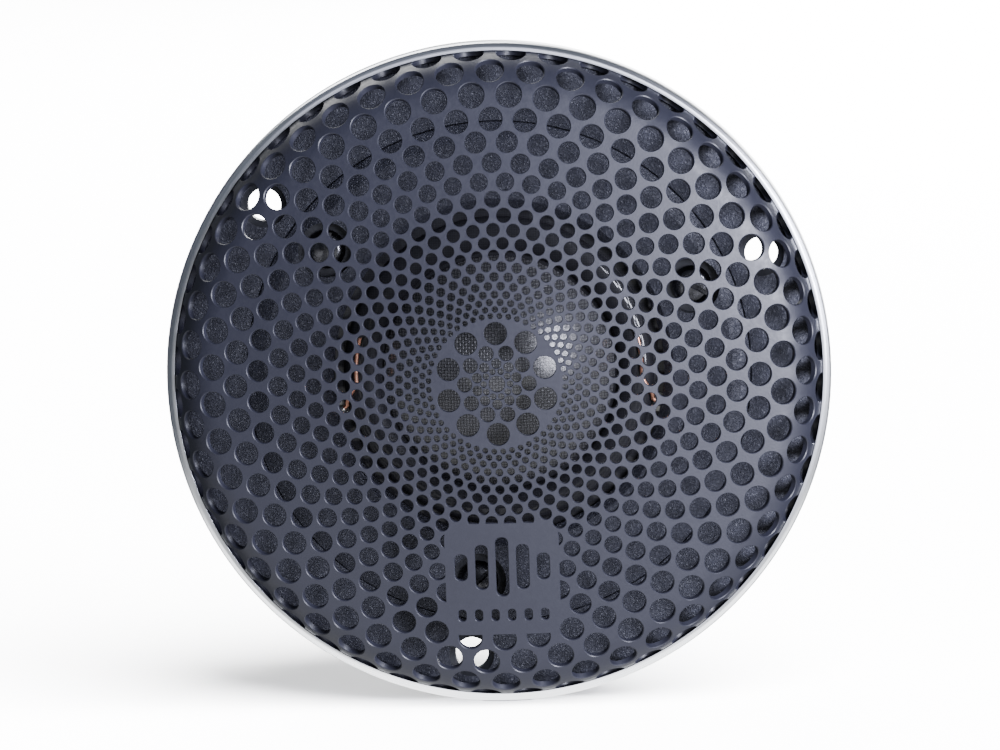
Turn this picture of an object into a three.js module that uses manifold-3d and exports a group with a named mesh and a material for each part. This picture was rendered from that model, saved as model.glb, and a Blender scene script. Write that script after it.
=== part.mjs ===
// Car tweeter: a 28 mm soft-dome driver behind a domed perforated grille cup.
// Millimetres, +Z up. The tweeter fires along -Y. The origin is the centre of
// the flange's rear face, which sits on the panel at y = 0.
import * as THREE from "three";
import { mergeVertices } from "three/addons/utils/BufferGeometryUtils.js";
import Module from "manifold-3d";

const wasm = await Module();
wasm.setup();

const TURN = 2 * Math.PI;
const FINE = 64; // sides of a large round piece
const INNER = 40; // sides of the pieces about the coil
const SMALL = 16; // sides of a screw or a hole
const GAP = 0.3; // clearance round a piece that is cut for its neighbour

// ---------------------------------------------------------------- dimensions
const RING = { outer: 42, inner: 41, front: -4.4, back: -0.8, edge: -3.6, land: 0.4 };

const GRILLE = {
  radius: 40.95,
  capRadius: 145.5,
  cornerRadius: 6.8,
  apex: -14.5,
  skirtEnd: -0.6,
  sheet: 0.7,
};

const FLANGE = { outer: 40.1, bore: 24.2, front: -2.5, rear: 0, seatRadius: 31.9, seat: -1, edge: 0.4 };
const MOUNT_HOLE = { circle: 36.4, radius: 2.1, collar: 2.8, collarDepth: 0.5 };
const GASKET = { inner: 31.9, outer: 33.9, front: -0.6, rear: 0.4 };

const PLATE = {
  outer: 31.6,
  rimFront: -2.7,
  crestRadius: 29.6,
  crest: -3.6,
  slopeFoot: 26.6,
  front: -3.3,
  chamferOuter: 22.1,
  bore: 20.9,
  chamferEnd: -2.1,
  rear: -1,
  reliefRadius: 23.9,
  relief: -1.4,
};
const FACE_SCREW = {
  circle: 26.8,
  headRadius: 2.5,
  headHeight: 1.5,
  crown: 0.45,
  shankRadius: 1.2,
  end: 3.2,
  counterbore: 3.5,
  seat: -2,
  slotWidth: 0.7,
  slotDepth: 0.7,
};
const FIRST_HOLE = THREE.MathUtils.degToRad(23); // from +X towards +Z, seen from the front
const THIRDS = [0, 1, 2].map((i) => FIRST_HOLE + (i * TURN) / 3);

const DOME = { radius: 14.6, apex: -7, base: -1.25, skin: 0.3 };
const SURROUND = {
  inner: 14.15,
  rollInner: 15.1,
  rollOuter: 19.7,
  outer: 23.6,
  rear: -0.65,
  skin: 0.3,
  roll: 1.5,
};
const SPACER = { inner: 19.9, outer: 23.8, front: -0.65, rear: 0 };
const FORMER = { inner: 13.9, outer: 14.1, front: -0.95, rear: 4.4 };
const COIL = { inner: 14.12, outer: 14.6, front: 0.6, rear: 3.6 };
const LEAD = { radius: 0.22, start: 14.9, crest: 18.1, end: 19.75, stand: 0.35 };
const LEAD_TURN = { start: 0.42, end: -0.2 };
const LEAD_TAG = { inner: 20, outer: 23.2, width: 2.4, front: -1.3, rear: -1, angle: -0.22 };

const TOP_PLATE = { inner: 15.1, outer: 29.5, front: 0, rear: 4, hole: 1.5 };
const MAGNET = { inner: 17, outer: 26, front: 4, rear: 12, bevel: 0.6 };
const BACK_PLATE = { vent: 4, outer: 26, front: 12, rear: 16, bevel: 0.5 };
const POLE = { vent: 4, outer: 13.1, front: 0, rear: 12 };
const CAP = { outer: 13.4, front: -0.2, rear: 4.5 };
const FELT = { inner: 4.5, outer: 12, front: -1.4, rear: -0.2 };
const CHAMBER = { outer: 22, wall: 1.5, lip: 26, lipRear: 17.6, front: 16, rear: 25.5, bevel: 1 };
const CHAMBER_FOAM = { radius: 19.8, front: 16.6, rear: 23.4 };
const REAR_SCREW = {
  circle: 24.1,
  headRadius: 1.6,
  headHeight: 1.2,
  crown: 0.3,
  shankRadius: 0.9,
  end: 13.4,
  slotWidth: 0.5,
  slotDepth: 0.5,
};

const BLOCK = { inner: 26.4, outer: 29.6, width: 13, front: 4, rear: 9.4 };
const TAB = { thickness: 0.8, rear: 18, lug: 3.4 };
const TAB_WIDTH = { positive: 4.8, negative: 2.8 };
const RIVET = { radius: 1, head: 1.7, headHeight: 0.5, recess: 0.4, play: 0.05 };

// ------------------------------------------------------------------ materials
const blackAbs = { color: 0x1b1c1e, roughness: 0.62, metalness: 0 };
const satinCharcoal = { color: 0x3a3d43, roughness: 0.42, metalness: 0.35 };
const brushedAluminium = { color: 0xb9bdc2, roughness: 0.34, metalness: 1 };
const blackSteel = { color: 0x202124, roughness: 0.28, metalness: 0.8 };
const platedSteel = { color: 0x8f9296, roughness: 0.38, metalness: 1 };
const zincScrew = { color: 0xa7a59b, roughness: 0.35, metalness: 1 };
const ferrite = { color: 0x2e2d2c, roughness: 0.7, metalness: 0.1 };
const coatedSilk = { color: 0x222326, roughness: 0.55, metalness: 0 };
const coatedCloth = { color: 0x161719, roughness: 0.5, metalness: 0 };
const copper = { color: 0xb4653a, roughness: 0.35, metalness: 1 };
const polyimide = { color: 0x8a5a1e, roughness: 0.4, metalness: 0 };
const brass = { color: 0xb6964e, roughness: 0.35, metalness: 1 };
const tinnedBrass = { color: 0xb7b4a8, roughness: 0.35, metalness: 1 };
const closedFoam = { color: 0x26272a, roughness: 0.95, metalness: 0 };
const woolFelt = { color: 0x4a4743, roughness: 1, metalness: 0 };

// -------------------------------------------------------------------- helpers
const tweeter = new THREE.Group();

function add(name, geometry, look) {
  const mesh = new THREE.Mesh(geometry, new THREE.MeshStandardMaterial(look));
  mesh.name = name;
  tweeter.add(mesh);
}

// A piece turned about the tweeter's axis; the profile is a list of [radius, y].
function turned(profile, sides = FINE) {
  const points = profile.map(([radius, y]) => new THREE.Vector2(radius, y));
  const onAxis = points[0].x === 0 && points.at(-1).x === 0;
  if (!onAxis) {
    points.push(points[0].clone());
  }
  return outward(new THREE.LatheGeometry(points, sides));
}

// A plain ring; a bevel takes the corners off its outer edge.
function ringOf({ inner, outer, front, rear, bevel = 0 }, sides = FINE) {
  const rim = bevel
    ? [[outer - bevel, front], [outer, front + bevel], [outer, rear - bevel], [outer - bevel, rear]]
    : [[outer, front], [outer, rear]];
  return turned([[inner, front], ...rim, [inner, rear]], sides);
}

// Faces turned to point out, with shared vertices merged.
function outward(geometry) {
  const merged = welded(geometry);
  const index = merged.index.array;
  if (signedVolume(merged) < 0) {
    for (let i = 0; i < index.length; i += 3) {
      [index[i], index[i + 1]] = [index[i + 1], index[i]];
    }
  }
  merged.computeVertexNormals();
  return merged;
}

function signedVolume(geometry) {
  const { position } = geometry.attributes;
  const index = geometry.index.array;
  const at = (i) => new THREE.Vector3().fromBufferAttribute(position, index[i]);
  let volume = 0;
  for (let i = 0; i < index.length; i += 3) {
    volume += at(i).dot(at(i + 1).cross(at(i + 2)));
  }
  return volume;
}

// Vertices merged, and the flat triangles dropped that a point on the axis leaves.
function welded(geometry) {
  const bare = geometry.clone();
  bare.deleteAttribute("normal");
  bare.deleteAttribute("uv");
  const merged = mergeVertices(bare, 1e-4);
  const index = [];
  for (let i = 0; i < merged.index.count; i += 3) {
    const [a, b, c] = merged.index.array.slice(i, i + 3);
    if (a !== b && b !== c && c !== a) {
      index.push(a, b, c);
    }
  }
  merged.setIndex(index);
  return merged;
}

function toSolid(geometry) {
  const merged = outward(geometry);
  const vertProperties = new Float32Array(merged.attributes.position.array);
  const triVerts = new Uint32Array(merged.index.array);
  return new wasm.Manifold(new wasm.Mesh({ numProp: 3, vertProperties, triVerts }));
}

function toGeometry(solid) {
  const mesh = solid.getMesh();
  const geometry = new THREE.BufferGeometry();
  geometry.setAttribute("position", new THREE.BufferAttribute(mesh.vertProperties, 3));
  geometry.setIndex(new THREE.BufferAttribute(mesh.triVerts, 1));
  geometry.computeVertexNormals();
  return geometry;
}

function cut(geometry, tools) {
  return toGeometry(tools.reduce((solid, tool) => solid.subtract(toSolid(tool)), toSolid(geometry)));
}

function join(...geometries) {
  return toGeometry(geometries.map(toSolid).reduce((all, next) => all.add(next)));
}

// A round piece along the tweeter's axis, moved out to an angle on a circle.
function onCircle(geometry, circle, angle) {
  return geometry.translate(circle * Math.cos(angle), 0, circle * Math.sin(angle));
}

function rod(radius, front, rear, sides = SMALL) {
  return turned([[0, front], [radius, front], [radius, rear], [0, rear]], sides);
}

function box([x0, x1], [y0, y1], [z0, z1]) {
  const geometry = new THREE.BoxGeometry(x1 - x0, y1 - y0, z1 - z0);
  return geometry.translate((x0 + x1) / 2, (y0 + y1) / 2, (z0 + z1) / 2);
}

// Points [radius, y] on an arc about [cr, cy], from one angle to another in steps.
function arc([cr, cy], radius, from, to, steps) {
  return Array.from({ length: steps + 1 }, (_, i) => {
    const angle = from + ((to - from) * i) / steps;
    return [cr + radius * Math.sin(angle), cy - radius * Math.cos(angle)];
  });
}

// --------------------------------------------------------------- grille cover
// The grille's section is a shallow spherical cap, a tight corner and a skirt.
function grilleSection(inset) {
  const { radius, capRadius, cornerRadius, apex, skirtEnd } = GRILLE;
  const capEnd = Math.asin((radius - cornerRadius) / (capRadius - cornerRadius));
  const capCentre = [0, apex + capRadius];
  const blend = capRadius - cornerRadius;
  const cornerCentre = [blend * Math.sin(capEnd), capCentre[1] - blend * Math.cos(capEnd)];
  const cap = arc(capCentre, capRadius - inset, 0, capEnd, 5);
  const corner = arc(cornerCentre, cornerRadius - inset, capEnd, Math.PI / 2, 6).slice(1);
  cap[0][0] = 0;
  return [...cap, ...corner, [radius - inset, skirtEnd]];
}

function makeGrille() {
  const outside = grilleSection(0);
  const inside = grilleSection(GRILLE.sheet).reverse();
  add("grille", turned([...outside, ...inside]), satinCharcoal);
}

function makeTrimRing() {
  const { outer, inner, front, back, edge, land } = RING;
  const profile = [
    [inner, back],
    [inner, front],
    [inner + land, front + 0.05],
    [outer - 0.16, front + 0.35],
    [outer, edge],
    [outer, back],
  ];
  add("trim_ring", turned(profile), brushedAluminium);
}

// ----------------------------------------------------------- flange and plate
function makeMountingFlange() {
  const { outer, bore, front, rear, seatRadius, seat, edge } = FLANGE;
  const blank = turned([
    [bore, rear],
    [bore, seat],
    [seatRadius, seat],
    [seatRadius, front],
    [outer - edge, front],
    [outer, front + edge],
    [outer, rear],
  ]);
  const groove = ringOf({ ...GASKET, rear: rear + 1 });
  const tools = [groove];
  for (const angle of THIRDS) {
    tools.push(onCircle(rod(MOUNT_HOLE.radius, front - 1, rear + 1), MOUNT_HOLE.circle, angle));
    const collar = rod(MOUNT_HOLE.collar, front - 1, front + MOUNT_HOLE.collarDepth);
    tools.push(onCircle(collar, MOUNT_HOLE.circle, angle));
    const clearance = rod(FACE_SCREW.shankRadius + GAP, seat - 1, rear + 1);
    tools.push(onCircle(clearance, FACE_SCREW.circle, angle));
  }
  add("mounting_flange", cut(blank, tools), blackAbs);
}

function makeFoamGasket() {
  const inset = 0.05; // clear of the groove's walls
  const { inner, outer, front, rear } = GASKET;
  const foam = ringOf({ inner: inner + inset, outer: outer - inset, front: front + inset, rear });
  add("foam_gasket", foam, closedFoam);
}

function makeFacePlate() {
  const p = PLATE;
  const blank = turned([
    [p.bore, p.relief],
    [p.bore, p.chamferEnd],
    [p.chamferOuter, p.front],
    [p.slopeFoot, p.front],
    [p.crestRadius, p.crest],
    [p.outer, p.rimFront],
    [p.outer, p.rear],
    [p.reliefRadius, p.rear],
    [p.reliefRadius, p.relief],
  ]);
  const tools = [];
  for (const angle of THIRDS) {
    const recess = rod(FACE_SCREW.counterbore, p.crest - 1, FACE_SCREW.seat, INNER);
    tools.push(onCircle(recess, FACE_SCREW.circle, angle));
    const clearance = rod(FACE_SCREW.shankRadius + GAP, p.crest, p.rear + 1);
    tools.push(onCircle(clearance, FACE_SCREW.circle, angle));
  }
  add("face_plate", cut(blank, tools), blackAbs);
}

// A slotted pan-head screw whose head rises from its seat towards the given side.
function panHeadScrew(screw, seat, side) {
  const { headRadius, headHeight, crown, shankRadius, end } = screw;
  const rim = seat + side * (headHeight - crown);
  const top = seat + side * headHeight;
  const shape = turned([
    [0, end],
    [shankRadius, end],
    [shankRadius, seat],
    [headRadius, seat],
    [headRadius, rim],
    [headRadius * 0.85, rim + (top - rim) * 0.6],
    [headRadius * 0.5, top],
    [0, top],
  ], SMALL);
  const halfSlot = screw.slotWidth / 2;
  const floor = top - side * screw.slotDepth;
  const depths = [floor, top + side].sort((a, b) => a - b);
  return cut(shape, [box([-headRadius - 1, headRadius + 1], depths, [-halfSlot, halfSlot])]);
}

function makeFaceScrews() {
  const slotAngles = [0.5, 1.8, 3.1]; // each screw stops where it is tight
  THIRDS.forEach((angle, i) => {
    const screw = panHeadScrew(FACE_SCREW, FACE_SCREW.seat, -1).rotateY(slotAngles[i]);
    add(`face_screw_${i + 1}`, onCircle(screw, FACE_SCREW.circle, angle), blackSteel);
  });
}

// ------------------------------------------------------------------ diaphragm
function domeSection(inset) {
  const rise = DOME.base - DOME.apex;
  const sphere = (DOME.radius ** 2 + rise ** 2) / (2 * rise);
  const centre = DOME.apex + sphere;
  const radius = sphere - inset;
  const bottom = inset ? DOME.base + inset : DOME.base;
  const edge = Math.acos((centre - bottom) / radius);
  const points = arc([0, centre], radius, 0, edge, 9);
  points[0][0] = 0;
  return points;
}

function makeDome() {
  const outside = domeSection(0);
  const inside = domeSection(DOME.skin).reverse();
  add("dome", turned([...outside, [DOME.radius, DOME.base + DOME.skin], ...inside], INNER), coatedSilk);
}

function makeSurround() {
  const s = SURROUND;
  const centre = (s.rollInner + s.rollOuter) / 2;
  const half = (s.rollOuter - s.rollInner) / 2;
  const steps = 8;
  const halfRoll = (width, height, y) => Array.from({ length: steps + 1 }, (_, i) => {
    const angle = (Math.PI * i) / steps;
    return [centre - width * Math.cos(angle), y - height * Math.sin(angle)];
  });
  const face = s.rear - s.skin;
  const front = [[s.inner, face], ...halfRoll(half, s.roll, face), [s.outer, face]];
  const under = halfRoll(half - s.skin, s.roll - s.skin, s.rear).reverse();
  const section = [...front, [s.outer, s.rear], ...under, [s.inner, s.rear]];
  add("surround", turned(section, INNER), coatedCloth);
}

// A wire lies along the front of the surround's roll, from the dome to its tag.
function leadRoute(steps) {
  const middle = (SURROUND.rollInner + SURROUND.rollOuter) / 2;
  const halfWidth = (SURROUND.rollOuter - SURROUND.rollInner) / 2 + LEAD.stand;
  const height = SURROUND.roll + LEAD.stand;
  const foot = SURROUND.rear - SURROUND.skin;
  const route = Array.from({ length: steps + 1 }, (_, i) => {
    const part = i / steps;
    const first = (LEAD.crest - LEAD.start) * THREE.MathUtils.smoothstep(part, 0, 0.25);
    const last = (LEAD.end - LEAD.crest) * THREE.MathUtils.smoothstep(part, 0.75, 1);
    const radius = LEAD.start + first + last;
    const angle = THREE.MathUtils.lerp(LEAD_TURN.start, LEAD_TURN.end, part);
    const y = foot - height * Math.sqrt(1 - ((radius - middle) / halfWidth) ** 2);
    return { radius, angle, y };
  });
  const joint = LEAD_TAG.front - LEAD.radius - 0.05;
  route.push({ radius: PLATE.bore - 0.5, angle: LEAD_TAG.angle, y: joint });
  return route;
}

function makeLeadWires() {
  const section = new THREE.Shape().absarc(0, 0, LEAD.radius, 0, TURN, false);
  for (const [side, way] of [["right", 1], ["left", -1]]) {
    const points = leadRoute(16).map(({ radius, angle, y }) => {
      return new THREE.Vector3(way * radius * Math.cos(angle), y, radius * Math.sin(angle));
    });
    const extrudePath = new THREE.CatmullRomCurve3(points);
    const wire = new THREE.ExtrudeGeometry(section, { curveSegments: 4, steps: 22, extrudePath });
    add(`lead_wire_${side}`, outward(wire), copper);
  }
}

function makeLeadTags() {
  const { inner, outer, width, front, rear, angle } = LEAD_TAG;
  for (const [side, way] of [["right", 1], ["left", -1]]) {
    const across = [way * inner, way * outer].sort((a, b) => a - b);
    const tag = box(across, [front, rear], [-width / 2, width / 2]).rotateY(-way * angle);
    add(`lead_tag_${side}`, outward(tag), tinnedBrass);
  }
}

function makeVoiceCoil() {
  add("voice_coil_former", ringOf(FORMER, INNER), polyimide);
  add("voice_coil", ringOf(COIL, INNER), copper);
}

// ---------------------------------------------------------------------- motor
function makeTopPlate() {
  const tools = THIRDS.map((angle) => {
    const hole = rod(TOP_PLATE.hole, TOP_PLATE.front - 1, TOP_PLATE.rear + 1);
    return onCircle(hole, FACE_SCREW.circle, angle);
  });
  add("top_plate", cut(ringOf(TOP_PLATE), tools), platedSteel);
}

function makeMotor() {
  makeTopPlate();
  add("ring_magnet", ringOf(MAGNET), ferrite);
  add("pole_piece", ringOf({ ...POLE, inner: POLE.vent }, INNER), platedSteel);
  const { vent } = BACK_PLATE;
  const holes = THIRDS.map((angle) => {
    const hole = rod(REAR_SCREW.shankRadius + GAP, REAR_SCREW.end - 1, BACK_PLATE.rear + 1);
    return onCircle(hole, REAR_SCREW.circle, angle);
  });
  add("back_plate", cut(ringOf({ ...BACK_PLATE, inner: vent }), holes), platedSteel);
  const cap = turned([
    [POLE.vent, CAP.front],
    [CAP.outer, CAP.front],
    [CAP.outer, CAP.rear],
    [POLE.outer, CAP.rear],
    [POLE.outer, POLE.front],
    [POLE.vent, POLE.front],
  ], INNER);
  add("copper_cap", cap, copper);
  add("felt_damper", ringOf(FELT, INNER), woolFelt);
  add("coupling_ring", ringOf(SPACER, INNER), blackAbs);
}

// --------------------------------------------------------------- rear chamber
function makeRearChamber() {
  const { outer, wall, lip, lipRear, front, rear, bevel } = CHAMBER;
  const cup = turned([
    [outer - wall, front],
    [lip, front],
    [lip, lipRear],
    [outer, lipRear],
    [outer, rear - bevel],
    [outer - bevel, rear],
    [0, rear],
    [0, rear - wall],
    [outer - wall, rear - wall],
  ].reverse());
  const holes = THIRDS.map((angle) => {
    const hole = rod(REAR_SCREW.shankRadius + GAP, front - 1, lipRear + 1);
    return onCircle(hole, REAR_SCREW.circle, angle);
  });
  add("rear_chamber", cut(cup, holes), blackAbs);
  add("chamber_foam", rod(CHAMBER_FOAM.radius, CHAMBER_FOAM.front, CHAMBER_FOAM.rear, INNER), closedFoam);
  THIRDS.forEach((angle, i) => {
    const screw = panHeadScrew(REAR_SCREW, CHAMBER.lipRear, 1).rotateY(0.9 * i);
    add(`rear_screw_${i + 1}`, onCircle(screw, REAR_SCREW.circle, angle), zincScrew);
  });
}

// ------------------------------------------------------------------ terminals
// A block on each side of the magnet holds a tab, riveted on, that points back.
function makeTerminals() {
  for (const [name, way] of [["positive", 1], ["negative", -1]]) {
    const face = way * BLOCK.outer;
    const tabOut = face + way * TAB.thickness;
    const half = BLOCK.width / 2;
    const across = [way * BLOCK.inner, face].sort((a, b) => a - b);
    const middle = (BLOCK.front + BLOCK.rear) / 2;
    const alongX = (radius, from, to) => {
      const [low, high] = [from, to].sort((a, b) => a - b);
      return rod(radius, low, high, SMALL).rotateZ(-Math.PI / 2).translate(0, middle, 0);
    };
    const bore = alongX(RIVET.radius + GAP, way * BLOCK.inner - way, face + way);
    const block = cut(box(across, [BLOCK.front, BLOCK.rear], [-half, half]), [bore]);
    add(`terminal_block_${name}`, block, blackAbs);

    const tabHalf = TAB_WIDTH[name] / 2;
    const tabAcross = [face, tabOut].sort((a, b) => a - b);
    const lug = box(tabAcross, [BLOCK.front + GAP, BLOCK.rear], [-TAB.lug, TAB.lug]);
    const blade = box(tabAcross, [BLOCK.rear - 1, TAB.rear], [-tabHalf, tabHalf]);
    const lugBore = alongX(RIVET.radius + GAP, face - way, tabOut + way);
    const tabSolid = toSolid(lug).add(toSolid(blade)).subtract(toSolid(lugBore));
    add(`terminal_${name}`, toGeometry(tabSolid), tinnedBrass);

    const headInner = tabOut + way * RIVET.play;
    const headOuter = headInner + way * RIVET.headHeight;
    const head = alongX(RIVET.head, headInner, headOuter);
    const shank = alongX(RIVET.radius, way * (BLOCK.inner + RIVET.recess), (headInner + headOuter) / 2);
    add(`terminal_rivet_${name}`, join(head, shank), brass);
  }
}

makeTrimRing();
makeGrille();
makeMountingFlange();
makeFoamGasket();
makeFacePlate();
makeFaceScrews();
makeDome();
makeSurround();
makeVoiceCoil();
makeLeadWires();
makeLeadTags();
makeMotor();
makeRearChamber();
makeTerminals();

export default tweeter;
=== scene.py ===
"""Looks of the car tweeter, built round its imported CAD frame.

Metres, +Z up. The tweeter fires along -Y, and y = 0 is the flange's rear face. Lengths below are in
millimetres where a name ends in _MM or a function says so; mm() turns them into metres.
"""

import math

import bpy
import numpy as np
from mathutils import Matrix, Vector
from mathutils.geometry import delaunay_2d_cdt


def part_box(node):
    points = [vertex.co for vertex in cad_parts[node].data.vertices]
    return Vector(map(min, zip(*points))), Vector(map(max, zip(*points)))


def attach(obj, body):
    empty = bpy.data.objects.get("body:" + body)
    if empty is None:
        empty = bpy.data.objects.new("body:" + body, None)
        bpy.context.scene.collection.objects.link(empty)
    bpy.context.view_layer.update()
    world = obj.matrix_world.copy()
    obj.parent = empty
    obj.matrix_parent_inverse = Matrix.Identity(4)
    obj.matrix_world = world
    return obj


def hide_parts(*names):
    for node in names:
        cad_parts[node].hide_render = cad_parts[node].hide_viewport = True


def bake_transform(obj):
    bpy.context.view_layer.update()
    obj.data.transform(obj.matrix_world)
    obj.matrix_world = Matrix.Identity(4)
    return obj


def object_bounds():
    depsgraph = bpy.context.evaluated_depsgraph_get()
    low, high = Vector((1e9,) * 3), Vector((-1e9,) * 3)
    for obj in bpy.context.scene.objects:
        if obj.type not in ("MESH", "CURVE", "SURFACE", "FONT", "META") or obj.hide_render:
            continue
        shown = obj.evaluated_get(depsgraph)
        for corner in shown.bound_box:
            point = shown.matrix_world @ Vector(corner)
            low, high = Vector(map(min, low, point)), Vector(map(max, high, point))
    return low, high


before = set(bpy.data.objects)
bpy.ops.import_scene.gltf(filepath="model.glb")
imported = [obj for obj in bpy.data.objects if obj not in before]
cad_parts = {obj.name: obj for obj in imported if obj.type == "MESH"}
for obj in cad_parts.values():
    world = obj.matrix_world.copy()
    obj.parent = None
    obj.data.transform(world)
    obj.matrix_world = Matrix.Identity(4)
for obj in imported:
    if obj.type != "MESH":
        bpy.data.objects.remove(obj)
CAD_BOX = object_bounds()

TURN = 2 * math.pi


def mm(value):
    return value * 0.001


def polar(radius, angle):
    return radius * math.cos(angle), radius * math.sin(angle)


def direction(azimuth, elevation):
    """Unit vector towards a place so many degrees to the right of the front and so far up."""
    across, up = math.radians(azimuth), math.radians(elevation)
    return Vector((math.sin(across) * math.cos(up), -math.cos(across) * math.cos(up), math.sin(up)))


def box_mm(node):
    low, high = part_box(node)
    return low * 1000, high * 1000


def node_size(node):
    """Outer radius, front y and rear y of a round CAD node, in millimetres."""
    low, high = box_mm(node)
    return high.x, low.y, high.y


# --- dimensions
RING_RADIUS, RING_FRONT, RING_BACK = node_size("trim_ring")
GRILLE_RADIUS, APEX, SKIRT_END = node_size("grille")
FLANGE_RADIUS, FLANGE_FRONT, FLANGE_REAR = node_size("mounting_flange")
_, PLATE_CREST, PLATE_REAR = node_size("face_plate")
DOME_RADIUS, DOME_APEX, DOME_BASE = node_size("dome")
FIRST_HOLE = math.radians(23)
THIRDS = [FIRST_HOLE + i * TURN / 3 for i in range(3)]
MOUNT_CIRCLE = 36.4
SCREW_CIRCLE = 26.8
REAR_SCREW_CIRCLE = 24.1

# --- camera
CAMERA_AZIMUTH, CAMERA_ELEVATION, CAMERA_ROLL = 1.6, 7.5, 1.58  # degrees
CAMERA_DISTANCE = 1.007
CAMERA_LENS = 290  # millimetres on a 36 mm sensor
APEX_LEFT_MM, APEX_BELOW_MM = 0.425, 1.15  # where the grille's apex lies from the picture's centre


def add_camera():
    data = bpy.data.cameras.new("camera")
    data.lens = CAMERA_LENS
    data.clip_start = 0.05
    data.clip_end = 20
    camera = bpy.data.objects.new("camera", data)
    bpy.context.scene.collection.objects.link(camera)
    back = direction(CAMERA_AZIMUTH, CAMERA_ELEVATION)
    roll = Matrix.Rotation(math.radians(-CAMERA_ROLL), 3, "Z").to_quaternion()
    turn = back.to_track_quat("Z", "Y") @ roll
    aim = Vector((0, mm(APEX), 0)) + turn @ Vector((mm(APEX_LEFT_MM), mm(APEX_BELOW_MM), 0))
    camera.rotation_mode = "QUATERNION"
    camera.rotation_quaternion = turn
    camera.location = aim + back * CAMERA_DISTANCE
    bpy.context.scene.camera = camera


# --- mesh helpers
def new_piece(name, points, faces, sharp_angle=35):
    """A mesh object from points in millimetres, smooth but for edges sharper than the angle."""
    mesh = bpy.data.meshes.new(name)
    mesh.from_pydata([tuple(mm(c) for c in p) for p in points], [], faces)
    mesh.validate()
    piece = bpy.data.objects.new(name, mesh)
    bpy.context.scene.collection.objects.link(piece)
    smooth(piece, sharp_angle)
    return piece


def smooth(piece, sharp_angle=35):
    piece.data.polygons.foreach_set("use_smooth", [True] * len(piece.data.polygons))
    piece.data.set_sharp_from_angle(angle=math.radians(sharp_angle))


def rounded(corners, steps=4):
    """An outline of (radius, y) points from corners (radius, y, fillet)."""
    outline = []
    count = len(corners)
    for i, (radius, y, fillet) in enumerate(corners):
        here = np.array((radius, y), float)
        if fillet == 0:
            outline.append(tuple(here))
            continue
        before = np.array(corners[i - 1][:2], float) - here
        after = np.array(corners[(i + 1) % count][:2], float) - here
        before /= np.linalg.norm(before)
        after /= np.linalg.norm(after)
        half = math.acos(np.clip(before @ after, -1, 1)) / 2
        middle = (before + after) / np.linalg.norm(before + after)
        centre = here + middle * fillet / math.sin(half)
        start = here + before * fillet / math.tan(half) - centre
        end = here + after * fillet / math.tan(half) - centre
        first = math.atan2(start[1], start[0])
        sweep = (math.atan2(end[1], end[0]) - first + math.pi) % TURN - math.pi
        for k in range(steps + 1):
            angle = first + sweep * k / steps
            outline.append(tuple(centre + fillet * np.array((math.cos(angle), math.sin(angle)))))
    return outline


def lathe(name, outline, sides=192, sharp_angle=35):
    """A closed piece turned about the tweeter's axis, from (radius, y) points in millimetres.

    The outline closes on itself, or starts and ends on the axis.
    """
    on_axis = outline[0][0] == 0 and outline[-1][0] == 0
    points, rings = [], []
    for radius, y in outline:
        if radius == 0:
            rings.append([len(points)] * sides)
            points.append((0, y, 0))
            continue
        rings.append(list(range(len(points), len(points) + sides)))
        for k in range(sides):
            x, z = polar(radius, TURN * k / sides)
            points.append((x, y, z))
    area = sum(a[0] * b[1] - b[0] * a[1] for a, b in zip(outline, outline[1:] + outline[:1]))
    pairs = list(zip(rings, rings[1:] + rings[:1]))
    faces = []
    for low, high in pairs[:-1] if on_axis else pairs:
        for k in range(sides):
            nxt = (k + 1) % sides
            corners = [low[k], high[k], high[nxt], low[nxt]]
            faces.append(list(dict.fromkeys(corners if area > 0 else corners[::-1])))
    return new_piece(name, points, faces, sharp_angle)


def rod(radius, front, rear, sides=24):
    """A plain round tool on the axis, between two y values, in millimetres."""
    return lathe("rod", [(0, front), (radius, front), (radius, rear), (0, rear)], sides=sides)


def place(piece, circle, angle, turn=0):
    """Turns a piece about its own y axis, then moves it out to a circle, in millimetres."""
    piece.data.transform(Matrix.Rotation(turn, 4, "Y"))
    x, z = polar(mm(circle), angle)
    piece.data.transform(Matrix.Translation((x, 0, z)))
    return piece


def slab(name, x, y, z, *bevel):
    """A box between two values on each axis, in millimetres, with its edges rounded if asked."""
    points = [(a, b, c) for a in x for b in y for c in z]
    faces = [(0, 1, 3, 2), (4, 6, 7, 5), (0, 4, 5, 1), (2, 3, 7, 6), (0, 2, 6, 4), (1, 5, 7, 3)]
    piece = new_piece(name, points, faces)
    return with_bevel(piece, *bevel) if bevel else piece


def with_bevel(piece, width, steps=2):
    modifier = piece.modifiers.new("edges", "BEVEL")
    modifier.width = mm(width)
    modifier.segments = steps
    modifier.limit_method = "ANGLE"
    modifier.angle_limit = math.radians(30)
    return applied(piece)


def applied(piece):
    """The piece with its modifiers made into mesh."""
    mesh = bpy.data.meshes.new_from_object(piece.evaluated_get(bpy.context.evaluated_depsgraph_get()))
    piece.modifiers.clear()
    piece.data = mesh
    smooth(piece)
    return piece


def boolean(piece, tools, operation="DIFFERENCE"):
    """The piece with other pieces cut out of it or joined to it; those are used up."""
    for tool in tools:
        modifier = piece.modifiers.new("cut", "BOOLEAN")
        modifier.operation = operation
        modifier.solver = "EXACT"
        modifier.object = tool
    applied(piece)
    for tool in tools:
        bpy.data.objects.remove(tool)
    return piece


def finish_piece(piece, body, look, stands_for=None):
    """Gives a piece its look, its body and the CAD node that it stands for."""
    piece.data.materials.clear()
    piece.data.materials.append(LOOKS[look])
    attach(piece, body)
    if stands_for:
        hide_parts(stands_for)


def second_look(piece, look, chosen):
    """Another look on the faces that are chosen by the x, y and z of their middle, in millimetres."""
    piece.data.materials.append(LOOKS[look])
    for face in piece.data.polygons:
        face.material_index = int(chosen(*(face.center * 1000)))


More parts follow.
